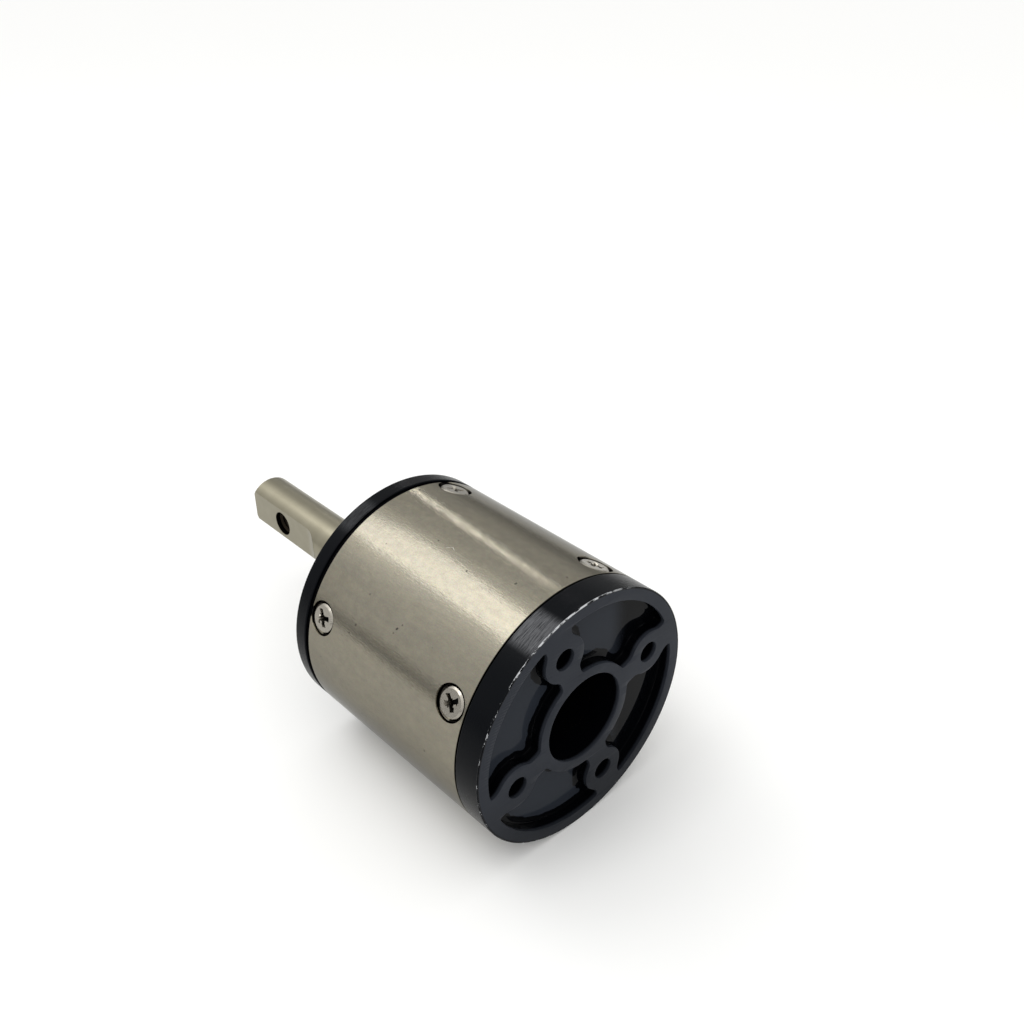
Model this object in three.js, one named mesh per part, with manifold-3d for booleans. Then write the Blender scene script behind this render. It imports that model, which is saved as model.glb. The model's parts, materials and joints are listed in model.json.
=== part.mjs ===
// Two-stage planetary gearbox: steel tube housing between two black end caps, a motor face at one
// end and a long output shaft with a milled flat and a cross hole at the other.
// Millimetres, +Z up. The gearbox lies on its side with its axis along Y: the motor face looks
// towards -Y and the output shaft towards +Y. Parts are drawn with the motor face at y = 0, and the
// whole group is then moved so that the origin is the centre of the gearbox's overall box.

import * as THREE from 'three';
import { mergeVertices } from 'three/addons/utils/BufferGeometryUtils.js';
import Module from 'manifold-3d';

const wasm = await Module();
wasm.setup();

// ---------------------------------------------------------------- driving dimensions
const HOUSING_RADIUS = 28;
const TUBE_WALL = 1.6;
const TUBE_START = 6.3;
const TUBE_END = 52.9;
const SPIGOT_RADIUS = 26.2;
const OVERALL_LENGTH = 111.5;

// Input end cap: the motor is bolted to its face.
const INPUT_FLANGE = 6;
const INPUT_SPIGOT_END = 16.2;
const PILOT_BORE_RADIUS = 9.75;
const PILOT_RING_RADIUS = 12;
const RIM_INNER_RADIUS = 25.2;
const POCKET_DEPTH = 2.6;
const MOTOR_HOLE_CIRCLE = 19;
const MOTOR_HOLE_RADIUS = 2.3;
const MOTOR_HOLE_ANGLE = 19;
const MOTOR_SCREW_HEAD_RADIUS = 4.1;
const MOTOR_SCREW_SEAT = 6;
const EAR_RADIUS = 5;
const INNER_WEB_WIDTH = 5.2;
const OUTER_WEB_WIDTH = 6.6;

// Output end cap: holds the bearing and the seal, and has the gearbox's own fixing holes.
const OUTPUT_SPIGOT_START = 43.2;
const OUTPUT_STEP_START = 53.2;
const OUTPUT_STEP_RADIUS = 27.2;
const OUTPUT_FLANGE_START = 54.1;
const OUTPUT_FACE = 57.5;
const CARRIER_POCKET_RADIUS = 20.6;
const CARRIER_POCKET_END = 47.65;
const FIXING_HOLE_CIRCLE = 19;
const FIXING_HOLE_RADIUS = 2;
const FIXING_HOLE_DEPTH = 8;

// Countersunk screws that hold each cap in the tube, four to a cap.
const CAP_SCREWS = 4;
const INPUT_SCREW_Y = 10.4;
const INPUT_SCREW_ANGLE = 63.6;
const OUTPUT_SCREW_Y = 49.3;
const OUTPUT_SCREW_ANGLE = 68.8;
const SCREW_RADIUS = 1.5;
const SCREW_HEAD_RADIUS = 3;
const SCREW_TOP = 27.75;
const SCREW_TIP = 20.4;
const SCREW_HOLE_RADIUS = 1.75;
const COUNTERSINK_RADIUS = 3.6;
const RECESS_LENGTH = 3.2;
const RECESS_WIDTH = 0.8;
const RECESS_DEPTH = 1.3;

// Gears. Both stages share the ring gear and the tooth counts, so each one reduces 5 to 1.
const MODULE = 0.9;
const RING_TEETH = 48;
const PLANET_TEETH = 18;
const SUN_TEETH = 12;
const PRESSURE_ANGLE = 20;
const ADDENDUM = 0.85 * MODULE;
const DEDENDUM = 1.15 * MODULE;
const TOOTH_THINNING = 0.12;
const PLANET_CIRCLE = MODULE * (SUN_TEETH + PLANET_TEETH) / 2;
const RING_START = 16.5;
const RING_END = 42.9;

// First stage: three planets on the carrier that also holds the second stage's sun gear.
const FIRST_PLANETS = 3;
const FIRST_PLANET_ANGLE = 90;
const FIRST_GEAR_START = 17.6;
const FIRST_GEAR_END = 27.4;
const FIRST_PLATE_START = 27.8;
const FIRST_PLATE_END = 30.8;
const FIRST_PLATE_RADIUS = 17.5;
const FIRST_PIN_RADIUS = 2;
const SUN_BORE_RADIUS = 3.05;
const SECOND_SUN_HUB_RADIUS = 4.2;
const SECOND_SUN_END = 42;

// Second stage: four planets on the output carrier.
const SECOND_PLANETS = 4;
const SECOND_PLANET_ANGLE = 45;
const SECOND_GEAR_START = 31.3;
const SECOND_GEAR_END = 41.9;
const OUTPUT_PLATE_START = 42.4;
const OUTPUT_PLATE_END = 46.4;
const OUTPUT_PLATE_RADIUS = 19.5;
const SECOND_PIN_RADIUS = 2.5;

// Output shaft.
const SHAFT_RADIUS = 6;
const SHAFT_HUB_RADIUS = 7;
const SHAFT_COLLAR_RADIUS = 8;
const SHAFT_COLLAR_START = 46.6;
const SHAFT_COLLAR_END = 47.6;
const SHAFT_END_CHAMFER = 0.5;
const SHAFT_FLAT_DISTANCE = 4.5;
const SHAFT_FLAT_START = 88.2;
const FLAT_CUTTER_RADIUS = 8;
const CROSS_HOLE_Y = 99.1;
const CROSS_HOLE_RADIUS = 3;

// Deep-groove ball bearing on the shaft, its retaining ring and the shaft seal.
const BEARING_START = 47.8;
const BEARING_END = 53.8;
const BEARING_OUTER_RADIUS = 12;
const BALL_CIRCLE = 9.1;
const BALL_RADIUS = 1.6;
const BALLS = 10;
const BALL_SEGMENTS = 8;
const BALL_BANDS = 6;
const RACE_GAP = 0.12;
const RACE_THICKNESS = 1.7;
const CAGE_THICKNESS = 0.7;
const CAGE_LENGTH = 4.4;
const RING_GROOVE_RADIUS = 5.5;
const RETAINER_START = 54.1;
const RETAINER_END = 54.9;
const RETAINER_RADIUS = 8;
const RETAINER_OPENING = 50;
const SEAL_START = 55.3;
const SEAL_END = 57.2;
const SEAL_RADIUS = 10.5;

// Thrust washer between the input cap and the first planets.
const WASHER_THICKNESS = 0.7;
const WASHER_OUTER_RADIUS = 20;

// Clearance of a round fit, facets round a turned surface, and how far a cutter runs past a face.
const FIT = 0.15;
const FINE = 64;
const MEDIUM = 32;
const COARSE = 16;
const LOWEST = 12;
const THROUGH = 1;

const radians = THREE.MathUtils.degToRad;

// ---------------------------------------------------------------- shape helpers
// A solid turned about Y, with a facet's middle, not its edge, on each row axis. Profile points are
// [radius, y], anticlockwise with radius to the right.
function turned(profile, segments) {
  const points = [...profile, profile[0]].map(([radius, y]) => new THREE.Vector2(radius, y));
  return weld(new THREE.LatheGeometry(points, segments, Math.PI / segments));
}

// A plain ring or disc between two heights.
function sleeve(inner, outer, start, end, segments) {
  return turned([[inner, start], [outer, start], [outer, end], [inner, end]], segments);
}

// A flat outline in X and Z, extruded along Y from start to end.
function extruded(shape, start, end) {
  const geometry = new THREE.ExtrudeGeometry(shape, { depth: end - start, bevelEnabled: false });
  geometry.rotateX(Math.PI / 2);
  geometry.translate(0, end, 0);
  return weld(geometry);
}

// A solid cylinder along Y.
function rod(radius, start, end, segments) {
  const geometry = new THREE.CylinderGeometry(radius, radius, end - start, segments);
  geometry.translate(0, (start + end) / 2, 0);
  return weld(geometry);
}

// Keeps positions only, with shared vertices merged, and drops faces of no area.
function weld(geometry) {
  geometry.deleteAttribute('normal');
  geometry.deleteAttribute('uv');
  const welded = mergeVertices(geometry, 1e-4);
  const index = welded.getIndex().array;
  const kept = [];
  for (let i = 0; i < index.length; i += 3) {
    const [a, b, c] = [index[i], index[i + 1], index[i + 2]];
    if (a !== b && b !== c && c !== a) kept.push(a, b, c);
  }
  welded.setIndex(kept);
  return welded;
}

// Turns a welded geometry into a solid that can be joined and cut.
function solid(geometry) {
  return new wasm.Manifold(new wasm.Mesh({
    numProp: 3,
    vertProperties: new Float32Array(geometry.getAttribute('position').array),
    triVerts: new Uint32Array(geometry.getIndex().array),
  }));
}

// Turns a solid back into a geometry.
function geometryOf(body) {
  const mesh = body.getMesh();
  const geometry = new THREE.BufferGeometry();
  geometry.setAttribute('position', new THREE.BufferAttribute(new Float32Array(mesh.vertProperties), 3));
  geometry.setIndex(Array.from(mesh.triVerts));
  return geometry;
}

// Cuts every tool geometry from the base geometry.
function cut(base, tools) {
  let body = solid(base);
  for (const tool of tools) body = body.subtract(solid(tool));
  return geometryOf(body);
}

// Points a geometry drawn along +Y outwards, at an angle from +X towards +Z, at a height on the axis.
function aimedOut(geometry, angle, y) {
  return geometry.rotateZ(-Math.PI / 2).rotateY(-radians(angle)).translate(0, y, 0);
}

// Moves a geometry drawn on the Y axis out to a point of a circle round it.
function onCircle(geometry, circle, angle) {
  return geometry.translate(circle * Math.cos(radians(angle)), 0, circle * Math.sin(radians(angle)));
}

// Places a mesh on a circle round the Y axis, at a height.
function placeOnCircle(mesh, circle, angle, y = 0) {
  mesh.position.set(circle * Math.cos(radians(angle)), y, circle * Math.sin(radians(angle)));
}

// Angles of equally spaced copies, in degrees.
function spaced(count, first) {
  return Array.from({ length: count }, (_, i) => first + i * 360 / count);
}

// ---------------------------------------------------------------- materials
function finish(color, roughness, metalness) {
  return () => new THREE.MeshStandardMaterial({ color, roughness, metalness });
}

const brushedSteel = finish(0xa39e90, 0.38, 1);
const blackPlastic = finish(0x1b1c20, 0.42, 0);
const screwNickel = finish(0xb9b5aa, 0.25, 1);
const gearSteel = finish(0x77787a, 0.4, 1);
const carrierSteel = finish(0x8b8b88, 0.45, 1);
const groundSteel = finish(0xc9c9c6, 0.18, 1);
const bronze = finish(0xa8834a, 0.4, 1);
const sealRubber = finish(0x16171a, 0.8, 0);

const gearbox = new THREE.Group();

function add(name, geometry, material) {
  const mesh = new THREE.Mesh(geometry, material());
  mesh.name = name;
  gearbox.add(mesh);
  return mesh;
}

// ---------------------------------------------------------------- housing
// The countersunk hole through the tube wall, drawn along +Y at its distance from the axis.
function tubeScrewHole() {
  const mouth = COUNTERSINK_RADIUS + THROUGH;
  const seat = HOUSING_RADIUS - (COUNTERSINK_RADIUS - SCREW_HOLE_RADIUS);
  return turned([
    [0, HOUSING_RADIUS - TUBE_WALL - THROUGH],
    [SCREW_HOLE_RADIUS, HOUSING_RADIUS - TUBE_WALL - THROUGH],
    [SCREW_HOLE_RADIUS, seat],
    [mouth, HOUSING_RADIUS + THROUGH],
    [0, HOUSING_RADIUS + THROUGH],
  ], LOWEST);
}

function housingTube() {
  const body = sleeve(HOUSING_RADIUS - TUBE_WALL, HOUSING_RADIUS, TUBE_START, TUBE_END, FINE);
  const holes = (firstAngle, y) =>
    spaced(CAP_SCREWS, firstAngle).map((angle) => aimedOut(tubeScrewHole(), angle, y));
  return cut(body, [
    ...holes(INPUT_SCREW_ANGLE, INPUT_SCREW_Y),
    ...holes(OUTPUT_SCREW_ANGLE, OUTPUT_SCREW_Y),
  ]);
}

// The blind hole in a cap's spigot for one screw.
function spigotScrewHole(angle, y) {
  const hole = rod(SCREW_HOLE_RADIUS, SCREW_TIP - 2 * FIT, SPIGOT_RADIUS + THROUGH, LOWEST);
  return aimedOut(hole, angle, y);
}

// One bolt ear with its webs to the pilot ring and to the rim, as deep as the pockets.
function motorEar(angle) {
  const start = -2 * THROUGH;
  const end = POCKET_DEPTH + THROUGH;
  const ear = onCircle(rod(EAR_RADIUS, start, end, COARSE), MOTOR_HOLE_CIRCLE, 0);
  const innerWeb = new THREE.BoxGeometry(MOTOR_HOLE_CIRCLE, end - start, INNER_WEB_WIDTH);
  innerWeb.translate(MOTOR_HOLE_CIRCLE / 2, (start + end) / 2, 0);
  const outerWeb = new THREE.BoxGeometry(HOUSING_RADIUS - MOTOR_HOLE_CIRCLE, end - start, OUTER_WEB_WIDTH);
  outerWeb.translate((HOUSING_RADIUS + MOTOR_HOLE_CIRCLE) / 2, (start + end) / 2, 0);
  const joined = solid(ear).add(solid(weld(innerWeb))).add(solid(weld(outerWeb)));
  return geometryOf(joined).rotateY(-radians(angle));
}

function inputEndCap() {
  const body = turned([
    [PILOT_BORE_RADIUS, 0],
    [HOUSING_RADIUS, 0],
    [HOUSING_RADIUS, INPUT_FLANGE],
    [SPIGOT_RADIUS, INPUT_FLANGE],
    [SPIGOT_RADIUS, INPUT_SPIGOT_END],
    [PILOT_BORE_RADIUS, INPUT_SPIGOT_END],
  ], FINE);
  const earAngles = spaced(4, MOTOR_HOLE_ANGLE);
  const moat = sleeve(PILOT_RING_RADIUS, RIM_INNER_RADIUS, -THROUGH, POCKET_DEPTH, FINE);
  const pockets = cut(moat, earAngles.map(motorEar));
  const boltHole = () => rod(MOTOR_HOLE_RADIUS, -THROUGH, INPUT_SPIGOT_END + THROUGH, LOWEST);
  const headHole = () => rod(MOTOR_SCREW_HEAD_RADIUS, MOTOR_SCREW_SEAT, INPUT_SPIGOT_END + THROUGH, LOWEST);
  return cut(body, [
    pockets,
    ...earAngles.map((angle) => onCircle(boltHole(), MOTOR_HOLE_CIRCLE, angle)),
    ...earAngles.map((angle) => onCircle(headHole(), MOTOR_HOLE_CIRCLE, angle)),
    ...spaced(CAP_SCREWS, INPUT_SCREW_ANGLE).map((angle) => spigotScrewHole(angle, INPUT_SCREW_Y)),
  ]);
}

function outputEndCap() {
  const body = turned([
    [SHAFT_COLLAR_RADIUS + 2 * FIT, CARRIER_POCKET_END],
    [CARRIER_POCKET_RADIUS, CARRIER_POCKET_END],
    [CARRIER_POCKET_RADIUS, OUTPUT_SPIGOT_START],
    [SPIGOT_RADIUS, OUTPUT_SPIGOT_START],
    [SPIGOT_RADIUS, OUTPUT_STEP_START],
    [OUTPUT_STEP_RADIUS, OUTPUT_STEP_START],
    [OUTPUT_STEP_RADIUS, OUTPUT_FLANGE_START],
    [HOUSING_RADIUS, OUTPUT_FLANGE_START],
    [HOUSING_RADIUS, OUTPUT_FACE],
    [SHAFT_COLLAR_RADIUS + 2 * FIT, OUTPUT_FACE],
  ], FINE);
  const bearingSeat = rod(
    BEARING_OUTER_RADIUS + FIT, CARRIER_POCKET_END - THROUGH, BEARING_END + FIT, MEDIUM);
  const sealSeat = rod(SEAL_RADIUS + FIT, BEARING_END, OUTPUT_FACE + THROUGH, MEDIUM);
  const fixingHole = () => rod(
    FIXING_HOLE_RADIUS, OUTPUT_FACE - FIXING_HOLE_DEPTH, OUTPUT_FACE + THROUGH, LOWEST);
  return cut(body, [
    bearingSeat,
    sealSeat,
    ...spaced(4, MOTOR_HOLE_ANGLE).map((angle) => onCircle(fixingHole(), FIXING_HOLE_CIRCLE, angle)),
    ...spaced(CAP_SCREWS, OUTPUT_SCREW_ANGLE).map((angle) => spigotScrewHole(angle, OUTPUT_SCREW_Y)),
  ]);
}

// A countersunk screw with a cross recess, drawn along +Y at its distance from the gearbox axis.
function capScrew() {
  const body = turned([
    [0, SCREW_TIP],
    [SCREW_RADIUS, SCREW_TIP],
    [SCREW_RADIUS, SCREW_TOP - (SCREW_HEAD_RADIUS - SCREW_RADIUS)],
    [SCREW_HEAD_RADIUS, SCREW_TOP],
    [0, SCREW_TOP],
  ], LOWEST);
  const slot = new THREE.BoxGeometry(RECESS_LENGTH, 2 * RECESS_DEPTH, RECESS_WIDTH);
  slot.translate(0, SCREW_TOP, 0);
  const crossSlot = slot.clone().rotateY(Math.PI / 2);
  return cut(body, [weld(slot), weld(crossSlot)]);
}

function addCapScrews(end, firstAngle, y) {
  spaced(CAP_SCREWS, firstAngle).forEach((angle, i) => {
    const screw = add(`${end}_cap_screw_${i + 1}`, capScrew(), screwNickel);
    screw.rotation.set(0, -radians(angle), -Math.PI / 2);
    screw.position.y = y;
  });
}

add('housing_tube', housingTube(), brushedSteel);
add('input_end_cap', inputEndCap(), blackPlastic);
add('output_end_cap', outputEndCap(), blackPlastic);
addCapScrews('input', INPUT_SCREW_ANGLE, INPUT_SCREW_Y);
addCapScrews('output', OUTPUT_SCREW_ANGLE, OUTPUT_SCREW_Y);

// ---------------------------------------------------------------- gears
// A point of a flat outline at a radius and an angle in radians.
function flatPoint(radius, angle) {
  return new THREE.Vector2(radius * Math.cos(angle), radius * Math.sin(angle));
}

// Half of the angle that an involute tooth fills at a radius.
function halfTooth(teeth, radius, thinning) {
  const pitchRadius = MODULE * teeth / 2;
  const baseRadius = pitchRadius * Math.cos(radians(PRESSURE_ANGLE));
  const pressure = Math.acos(Math.min(1, baseRadius / radius));
  const involute = (angle) => Math.tan(angle) - angle;
  const atPitch = Math.PI / (2 * teeth) - thinning / (2 * pitchRadius);
  return atPitch + involute(radians(PRESSURE_ANGLE)) - involute(pressure);
}

// The toothed outline, with a tooth centred on +X. An internal gear's spaces are drawn in the same way
// as teeth, thickened instead of thinned.
function toothPoints(teeth, rootRadius, tipRadius, thinning, turn = 0) {
  const points = [];
  const flank = [rootRadius, (rootRadius + tipRadius) / 2, tipRadius];
  for (let tooth = 0; tooth < teeth; tooth++) {
    const centre = turn + tooth * 2 * Math.PI / teeth;
    for (const radius of flank) points.push([radius, centre - halfTooth(teeth, radius, thinning)]);
    for (const radius of flank.toReversed()) {
      points.push([radius, centre + halfTooth(teeth, radius, thinning)]);
    }
  }
  return points.map(([radius, angle]) => flatPoint(radius, angle));
}

// Points round a circle, from a first to a last angle in degrees.
function arcPoints(radius, segments, first = 0, last = 360, x = 0, z = 0) {
  const count = last - first === 360 ? segments : segments + 1;
  return Array.from({ length: count }, (_, i) => {
    const angle = radians(first + (last - first) * i / segments);
    return new THREE.Vector2(x + radius * Math.cos(angle), z + radius * Math.sin(angle));
  });
}

// An external gear with a round bore.
function externalGear(teeth, start, end, boreRadius, boreSegments, turn = 0) {
  const pitchRadius = MODULE * teeth / 2;
  const points = toothPoints(teeth, pitchRadius - DEDENDUM, pitchRadius + ADDENDUM, TOOTH_THINNING, turn);
  const outline = new THREE.Shape(points);
  if (boreRadius > 0) outline.holes.push(new THREE.Path(arcPoints(boreRadius, boreSegments)));
  return extruded(outline, start, end);
}

function ringGear() {
  const pitchRadius = MODULE * RING_TEETH / 2;
  const spaces = toothPoints(RING_TEETH, pitchRadius - ADDENDUM, pitchRadius + DEDENDUM, -TOOTH_THINNING);
  const outline = new THREE.Shape(arcPoints(SPIGOT_RADIUS, MEDIUM));
  outline.holes.push(new THREE.Path(spaces));
  return extruded(outline, RING_START, RING_END);
}

// A sun gear's turn, in radians, that puts a tooth space in front of a planet at this angle.
function sunTurn(planetAngle) {
  return Math.PI / SUN_TEETH + radians(planetAngle) * (1 + RING_TEETH / SUN_TEETH);
}

// Planets roll inside the ring gear, so each one's turn follows from its place on the circle.
function addPlanets(stage, count, firstAngle, start, end, pinRadius) {
  spaced(count, firstAngle).forEach((angle, i) => {
    const gear = externalGear(PLANET_TEETH, start, end, pinRadius + FIT, LOWEST);
    const planet = add(`${stage}_planet_gear_${i + 1}`, gear, gearSteel);
    placeOnCircle(planet, PLANET_CIRCLE, angle);
    planet.rotation.y = -radians(angle) * (1 - RING_TEETH / PLANET_TEETH);
  });
}

function addPlanetPins(stage, count, firstAngle, start, end, radius) {
  spaced(count, firstAngle).forEach((angle, i) => {
    const pin = add(`${stage}_planet_pin_${i + 1}`, rod(radius, start, end, LOWEST), groundSteel);
    placeOnCircle(pin, PLANET_CIRCLE, angle);
  });
}

// A round plate with a centre hole and one hole for each planet pin.
function carrierPlate(radius, centreRadius, start, end, count, firstAngle, pinRadius) {
  const outline = new THREE.Shape(arcPoints(radius, MEDIUM));
  outline.holes.push(new THREE.Path(arcPoints(centreRadius, MEDIUM)));
  for (const angle of spaced(count, firstAngle)) {
    const x = PLANET_CIRCLE * Math.cos(radians(angle));
    const z = PLANET_CIRCLE * Math.sin(radians(angle));
    outline.holes.push(new THREE.Path(arcPoints(pinRadius, LOWEST, 0, 360, x, z)));
  }
  return extruded(outline, start, end);
}

// The second stage's sun gear with the hub that is pressed into the first carrier.
function secondSunGear() {
  const turn = sunTurn(SECOND_PLANET_ANGLE);
  const teeth = externalGear(SUN_TEETH, FIRST_PLATE_END + FIT, SECOND_SUN_END, 0, 0, turn);
  const hub = rod(SECOND_SUN_HUB_RADIUS, FIRST_PLATE_START + FIT, FIRST_PLATE_END + THROUGH, COARSE);
  return geometryOf(solid(teeth).add(solid(hub)));
}

const washerStart = INPUT_SPIGOT_END + 2 * FIT;
const washer = sleeve(
  PILOT_BORE_RADIUS, WASHER_OUTER_RADIUS, washerStart, washerStart + WASHER_THICKNESS, MEDIUM);
const inputSun = externalGear(
  SUN_TEETH, FIRST_GEAR_START, FIRST_GEAR_END, SUN_BORE_RADIUS, COARSE, sunTurn(FIRST_PLANET_ANGLE));
const firstPlate = carrierPlate(
  FIRST_PLATE_RADIUS, SECOND_SUN_HUB_RADIUS + FIT, FIRST_PLATE_START, FIRST_PLATE_END,
  FIRST_PLANETS, FIRST_PLANET_ANGLE, FIRST_PIN_RADIUS + FIT);
const outputPlate = carrierPlate(
  OUTPUT_PLATE_RADIUS, SHAFT_HUB_RADIUS + FIT, OUTPUT_PLATE_START, OUTPUT_PLATE_END,
  SECOND_PLANETS, SECOND_PLANET_ANGLE, SECOND_PIN_RADIUS + FIT);

add('ring_gear', ringGear(), gearSteel);
add('input_thrust_washer', washer, bronze);
add('input_sun_gear', inputSun, gearSteel);
addPlanets('first', FIRST_PLANETS, FIRST_PLANET_ANGLE, FIRST_GEAR_START, FIRST_GEAR_END, FIRST_PIN_RADIUS);
addPlanetPins(
  'first', FIRST_PLANETS, FIRST_PLANET_ANGLE, FIRST_GEAR_START, FIRST_PLATE_END, FIRST_PIN_RADIUS);
add('first_carrier_plate', firstPlate, carrierSteel);
add('second_sun_gear', secondSunGear(), gearSteel);
addPlanets(
  'second', SECOND_PLANETS, SECOND_PLANET_ANGLE, SECOND_GEAR_START, SECOND_GEAR_END, SECOND_PIN_RADIUS);
addPlanetPins(
  'second', SECOND_PLANETS, SECOND_PLANET_ANGLE, SECOND_GEAR_START, OUTPUT_PLATE_END, SECOND_PIN_RADIUS);
add('output_carrier_plate', outputPlate, carrierSteel);

// ---------------------------------------------------------------- output shaft
function outputShaft() {
  const body = turned([
    [0, OUTPUT_PLATE_START + FIT],
    [SHAFT_HUB_RADIUS, OUTPUT_PLATE_START + FIT],
    [SHAFT_HUB_RADIUS, SHAFT_COLLAR_START],
    [SHAFT_COLLAR_RADIUS, SHAFT_COLLAR_START],
    [SHAFT_COLLAR_RADIUS, SHAFT_COLLAR_END],
    [SHAFT_RADIUS, SHAFT_COLLAR_END],
    [SHAFT_RADIUS, RETAINER_START - FIT],
    [RING_GROOVE_RADIUS, RETAINER_START - FIT],
    [RING_GROOVE_RADIUS, RETAINER_END + FIT],
    [SHAFT_RADIUS, RETAINER_END + FIT],
    [SHAFT_RADIUS, OVERALL_LENGTH - SHAFT_END_CHAMFER],
    [SHAFT_RADIUS - SHAFT_END_CHAMFER, OVERALL_LENGTH],
    [0, OVERALL_LENGTH],
  ], MEDIUM);
  const flatLength = OVERALL_LENGTH + THROUGH - SHAFT_FLAT_START;
  const flat = new THREE.BoxGeometry(SHAFT_RADIUS, flatLength, 4 * SHAFT_RADIUS);
  flat.translate(-SHAFT_FLAT_DISTANCE - SHAFT_RADIUS / 2, SHAFT_FLAT_START + flatLength / 2, 0);
  const runOut = rod(FLAT_CUTTER_RADIUS, -2 * SHAFT_RADIUS, 2 * SHAFT_RADIUS, MEDIUM);
  runOut.rotateX(Math.PI / 2).translate(-SHAFT_FLAT_DISTANCE - FLAT_CUTTER_RADIUS, SHAFT_FLAT_START, 0);
  const crossHole = rod(CROSS_HOLE_RADIUS, -2 * SHAFT_RADIUS, 2 * SHAFT_RADIUS, COARSE);
  return cut(body, [weld(flat), runOut, aimedOut(crossHole, 180, CROSS_HOLE_Y)]);
}

add('output_shaft', outputShaft(), brushedSteel);

// ---------------------------------------------------------------- bearing, retaining ring and seal
// A race is a ring with a V-shaped ball track cut into the side that faces the balls.
function innerRace() {
  const middle = (BEARING_START + BEARING_END) / 2;
  const land = SHAFT_RADIUS + FIT + RACE_THICKNESS;
  const track = BALL_CIRCLE - BALL_RADIUS - RACE_GAP;
  return turned([
    [SHAFT_RADIUS + FIT, BEARING_START],
    [land, BEARING_START],
    [land, middle - BALL_RADIUS],
    [track, middle - BALL_RADIUS / 2],
    [track, middle + BALL_RADIUS / 2],
    [land, middle + BALL_RADIUS],
    [land, BEARING_END],
    [SHAFT_RADIUS + FIT, BEARING_END],
  ], MEDIUM);
}

function outerRace() {
  const middle = (BEARING_START + BEARING_END) / 2;
  const land = BEARING_OUTER_RADIUS - RACE_THICKNESS;
  const track = BALL_CIRCLE + BALL_RADIUS + RACE_GAP;
  return turned([
    [land, BEARING_START],
    [BEARING_OUTER_RADIUS, BEARING_START],
    [BEARING_OUTER_RADIUS, BEARING_END],
    [land, BEARING_END],
    [land, middle + BALL_RADIUS],
    [track, middle + BALL_RADIUS / 2],
    [track, middle - BALL_RADIUS / 2],
    [land, middle - BALL_RADIUS],
  ], MEDIUM);
}

function bearingCage() {
  const middle = (BEARING_START + BEARING_END) / 2;
  const inner = BALL_CIRCLE - CAGE_THICKNESS / 2;
  const outer = BALL_CIRCLE + CAGE_THICKNESS / 2;
  const ring = sleeve(inner, outer, middle - CAGE_LENGTH / 2, middle + CAGE_LENGTH / 2, MEDIUM);
  const window = () => rod(BALL_RADIUS + 2 * FIT, inner - THROUGH, outer + THROUGH, BALL_SEGMENTS);
  return cut(ring, spaced(BALLS, 0).map((angle) => aimedOut(window(), angle, middle)));
}

// An open retaining ring that sits in the shaft's groove.
function retainingRing() {
  const inner = RING_GROOVE_RADIUS + FIT;
  const half = RETAINER_OPENING / 2;
  const outside = arcPoints(RETAINER_RADIUS, COARSE, half, 360 - half);
  const inside = arcPoints(inner, COARSE, 360 - half, half);
  return extruded(new THREE.Shape([...outside, ...inside]), RETAINER_START, RETAINER_END);
}

const ballY = (BEARING_START + BEARING_END) / 2;
add('bearing_outer_race', outerRace(), groundSteel);
add('bearing_inner_race', innerRace(), groundSteel);
add('bearing_cage', bearingCage(), bronze);
spaced(BALLS, 0).forEach((angle, i) => {
  const sphere = weld(new THREE.SphereGeometry(BALL_RADIUS, BALL_SEGMENTS, BALL_BANDS));
  const ball = add(`bearing_ball_${i + 1}`, sphere, groundSteel);
  placeOnCircle(ball, BALL_CIRCLE, angle, ballY);
});
add('shaft_retaining_ring', retainingRing(), carrierSteel);
add('shaft_seal', sleeve(SHAFT_RADIUS + FIT, SEAL_RADIUS, SEAL_START, SEAL_END, MEDIUM), sealRubber);

gearbox.position.y = -OVERALL_LENGTH / 2;

export default gearbox;
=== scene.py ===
import json
import math
import random

import bmesh
import bpy
import numpy as np
from mathutils import Matrix, Vector
from mathutils.geometry import tessellate_polygon


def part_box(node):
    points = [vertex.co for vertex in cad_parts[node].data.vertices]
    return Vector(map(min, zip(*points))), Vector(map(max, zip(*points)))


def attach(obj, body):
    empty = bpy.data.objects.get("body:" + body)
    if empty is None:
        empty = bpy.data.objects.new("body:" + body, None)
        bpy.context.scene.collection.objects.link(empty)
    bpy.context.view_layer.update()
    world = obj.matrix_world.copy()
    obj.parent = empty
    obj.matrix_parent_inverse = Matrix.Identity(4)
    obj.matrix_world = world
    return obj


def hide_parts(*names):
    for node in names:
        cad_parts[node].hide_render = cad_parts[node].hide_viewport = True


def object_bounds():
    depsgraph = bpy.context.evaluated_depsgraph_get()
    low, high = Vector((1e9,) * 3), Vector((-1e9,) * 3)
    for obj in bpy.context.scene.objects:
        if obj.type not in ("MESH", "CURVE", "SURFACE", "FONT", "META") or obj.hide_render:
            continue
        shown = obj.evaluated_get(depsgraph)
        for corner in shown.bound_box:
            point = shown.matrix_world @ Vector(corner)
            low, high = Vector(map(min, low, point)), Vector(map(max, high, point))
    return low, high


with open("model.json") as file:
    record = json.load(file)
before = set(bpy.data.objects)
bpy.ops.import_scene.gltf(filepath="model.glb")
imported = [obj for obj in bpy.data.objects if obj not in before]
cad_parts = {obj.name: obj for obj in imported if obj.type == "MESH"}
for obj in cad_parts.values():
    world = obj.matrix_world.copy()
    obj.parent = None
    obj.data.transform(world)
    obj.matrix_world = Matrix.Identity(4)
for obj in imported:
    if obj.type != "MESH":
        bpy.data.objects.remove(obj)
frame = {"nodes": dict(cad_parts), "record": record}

cad_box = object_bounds()

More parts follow.
